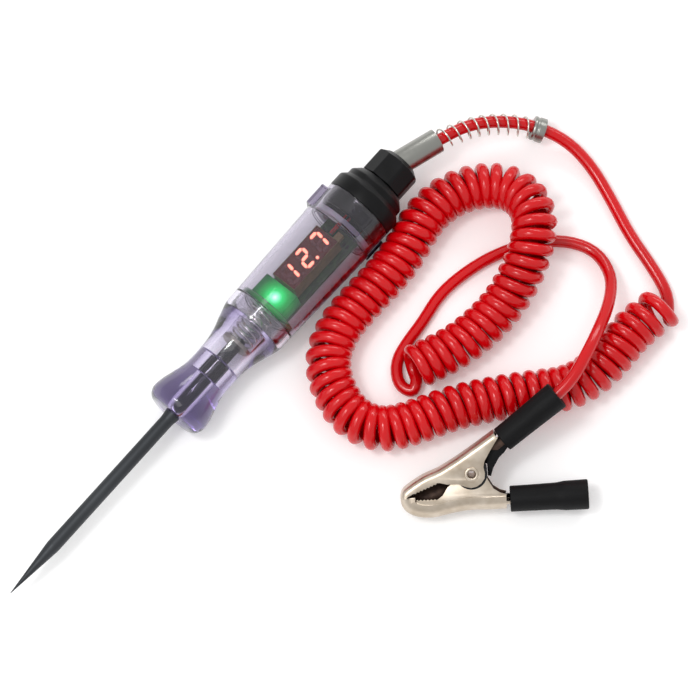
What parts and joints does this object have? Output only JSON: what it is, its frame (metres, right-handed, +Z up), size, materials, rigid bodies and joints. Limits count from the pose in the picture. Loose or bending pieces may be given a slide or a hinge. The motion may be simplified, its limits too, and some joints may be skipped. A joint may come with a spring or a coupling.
{
  "type": "circuit test light",
  "caption": "Probe-type circuit tester with a clear handle, lit voltage display, curly cord and sprung earth clip.",
  "frame": {"origin": "bottom centre of the tester's own box, without its cord and clip", "axes": "+X along the tester from the probe's tip to the gland, +Z up, cord and clip on the -Y side"},
  "size_m": [0.2453, 0.1406, 0.0283],
  "materials": {
    "gunmetal_steel": "blackened, fine turned",
    "black_spring_steel": "blackened",
    "brass": "bright",
    "clear_polycarbonate": "clear moulded, faint violet tint",
    "nickel_wire": "bright drawn",
    "black_abs": "moulded, satin",
    "nickel_plate": "nickel plated",
    "red_pvc": "glossy extruded",
    "board_laminate": "solder mask",
    "display_case": "moulded",
    "display_filter": "dark red filter",
    "segment_lit": "lit",
    "segment_dark": "unlit",
    "tinned_pins": "tinned",
    "green_acrylic": "clear, lit green",
    "led_green": "lit",
    "led_clear": "unlit, clear",
    "chip_epoxy": "moulded",
    "chip_ceramic": "ceramic",
    "nickel_sheet": "nickel-plated pressed sheet",
    "black_vinyl": "soft vinyl, matt"
  },
  "bodies": {
    "root": {"probe": "gunmetal_steel", "probe_retainer": "black_spring_steel", "spring_seat": "brass", "nose_cone": "clear_polycarbonate", "contact_spring": "nickel_wire", "contact_plate": "clear_polycarbonate", "barrel": "clear_polycarbonate", "end_cap": "black_abs", "gland_nut": "black_abs", "cord_ferrule": "nickel_plate", "inner_wire": "red_pvc", "circuit_board": "board_laminate", "board_ring": "clear_polycarbonate", "display_housing": "display_case", "display_face": "display_filter", "lit_segments": "segment_lit", "unlit_segments": "segment_dark", "display_pins": "tinned_pins", "light_guide": "green_acrylic", "green_led": "led_green", "red_led": "led_clear", "control_chip": "chip_epoxy", "chip_resistors": "chip_ceramic", "capacitor": "chip_ceramic", "relief_spring": "nickel_wire", "spring_collar": "nickel_plate", "lead_cord": "red_pvc", "curly_cord": "red_pvc", "tail_cord": "red_pvc", "clip_upper_lever": "nickel_sheet", "clip_rivet": "nickel_plate", "clip_spring": "nickel_wire", "upper_sleeve": "black_vinyl", "cord_crimp": "nickel_plate"},
    "lower_jaw": {"clip_lower_lever": "nickel_sheet", "lower_sleeve": "black_vinyl"}
  },
  "joints": [
    {"name": "clip_jaw", "type": "hinge", "parent": "root", "child": "lower_jaw", "pos_m": [0.0265, -0.089, 0.0103], "axis": [-0.2932, -0.2582, 0.9205], "range_deg": [0, 22], "stiffness_Nm_per_rad": 0.1, "springref_deg": -34.38, "deforming": ["clip_spring"]}
  ]
}
